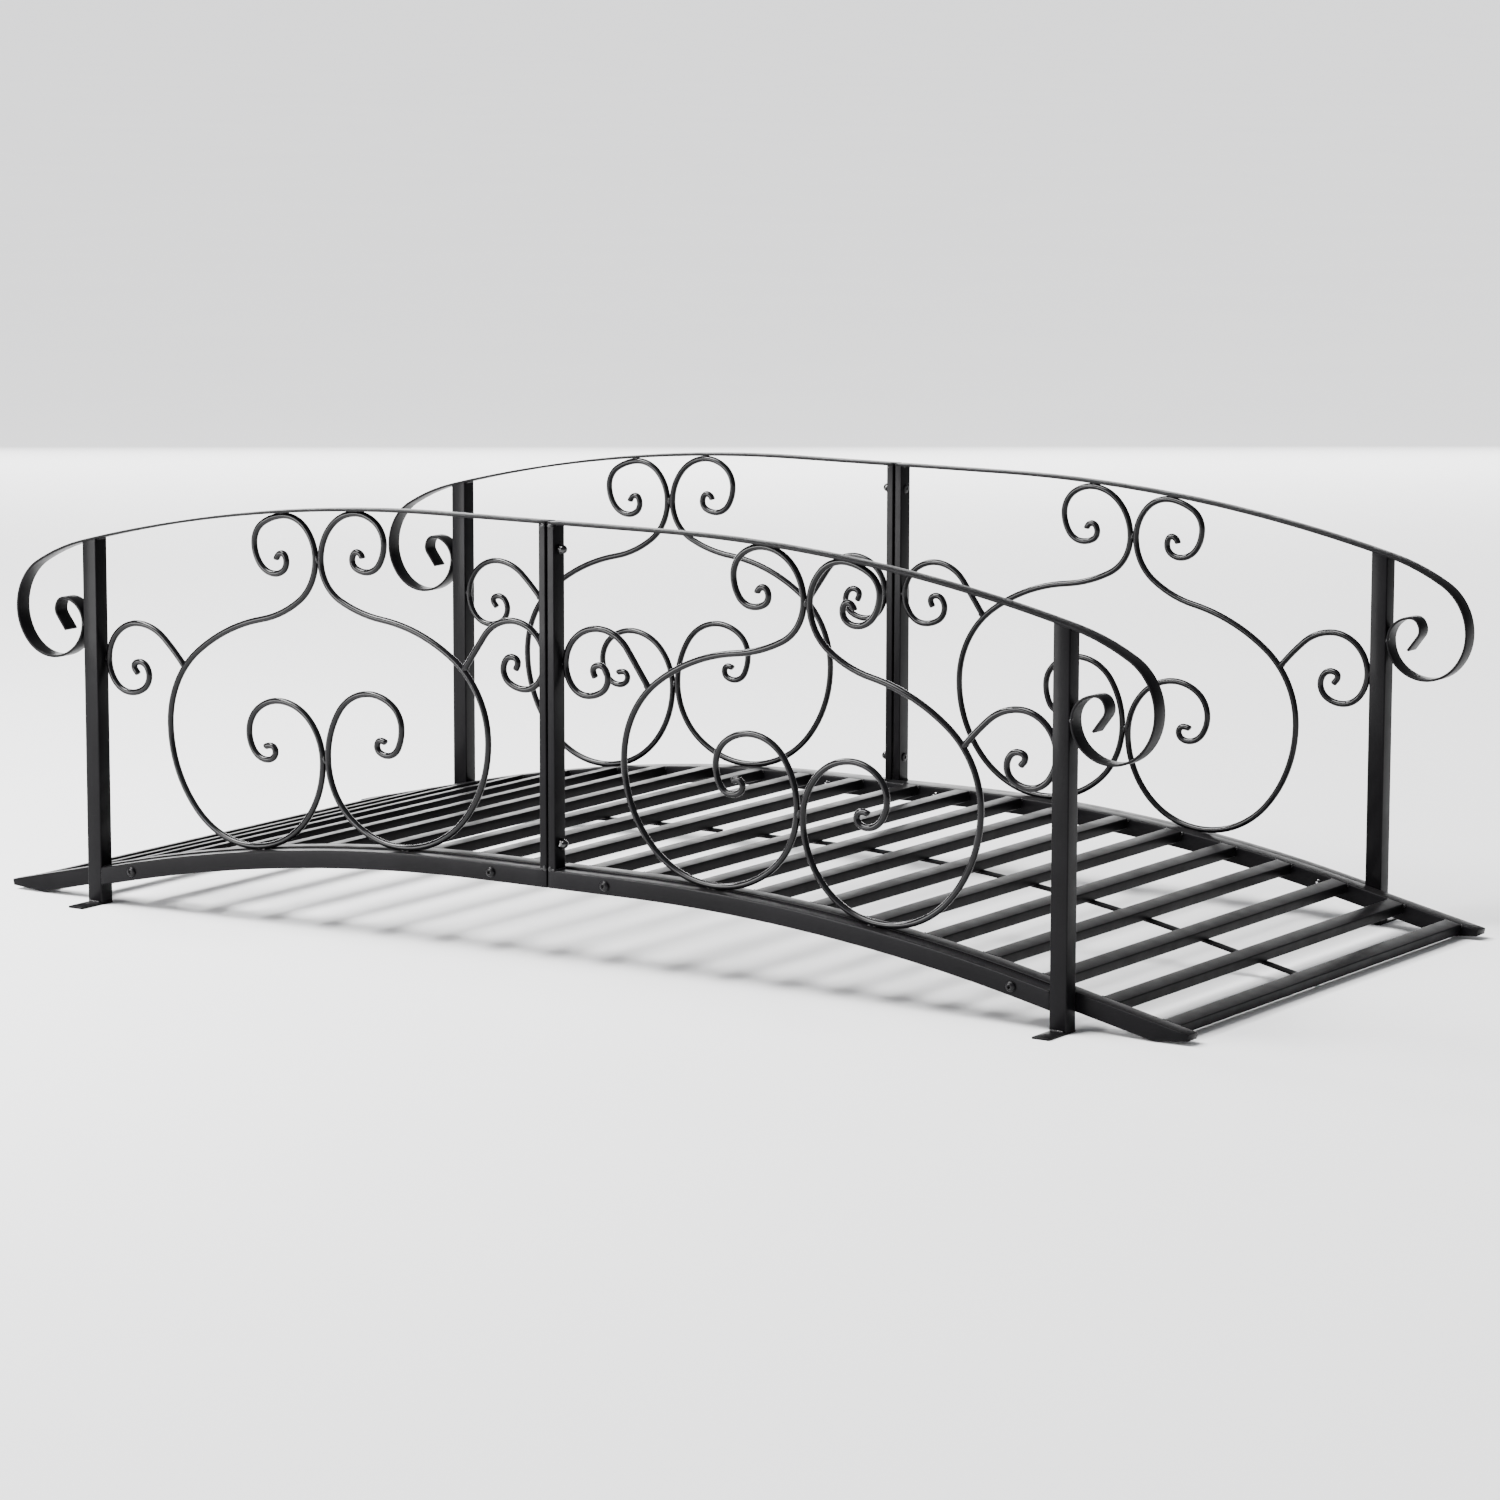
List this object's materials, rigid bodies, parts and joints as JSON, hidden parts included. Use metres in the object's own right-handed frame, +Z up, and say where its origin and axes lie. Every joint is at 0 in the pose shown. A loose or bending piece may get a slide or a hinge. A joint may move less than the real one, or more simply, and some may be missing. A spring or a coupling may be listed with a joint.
{
  "type": "garden footbridge",
  "caption": "Arched steel garden footbridge with slatted deck and scrollwork railings that end in volutes.",
  "frame": {"origin": "on the ground at the middle of the bridge", "axes": "+X along the bridge, +Y across it, +Z up"},
  "size_m": [1.9382, 0.99, 0.602],
  "materials": {
    "tube": "satin black powder coat",
    "rail": "satin black powder coat",
    "rod": "satin black powder coat",
    "deck": "satin black powder coat"
  },
  "bodies": {
    "root": {"end_post_front_left": "tube", "end_post_front_right": "tube", "end_post_back_left": "tube", "end_post_back_right": "tube", "foot_tab_front_left": "tube", "foot_tab_front_right": "tube", "foot_tab_back_left": "tube", "foot_tab_back_right": "tube", "centre_post_front_left": "tube", "centre_post_front_right": "tube", "centre_post_back_left": "tube", "centre_post_back_right": "tube", "lower_bar_front_left": "tube", "lower_bar_front_right": "tube", "lower_bar_back_left": "tube", "lower_bar_back_right": "tube", "top_rail_front_left": "rail", "top_rail_front_right": "rail", "top_rail_back_left": "rail", "top_rail_back_right": "rail", "scroll_inner_front_left": "rod", "scroll_inner_front_right": "rod", "scroll_inner_back_left": "rod", "scroll_inner_back_right": "rod", "scroll_outer_front_left": "rod", "scroll_outer_front_right": "rod", "scroll_outer_back_left": "rod", "scroll_outer_back_right": "rod", "branch_scrolls_front_left": "rod", "branch_scrolls_front_right": "rod", "branch_scrolls_back_left": "rod", "branch_scrolls_back_right": "rod", "deck_bar_front_left": "deck", "deck_bar_front_right": "deck", "deck_bar_back_left": "deck", "deck_bar_back_right": "deck", "slats_left": "deck", "slats_right": "deck", "deck_stringer_left": "deck", "deck_stringer_right": "deck"}
  },
  "joints": []
}
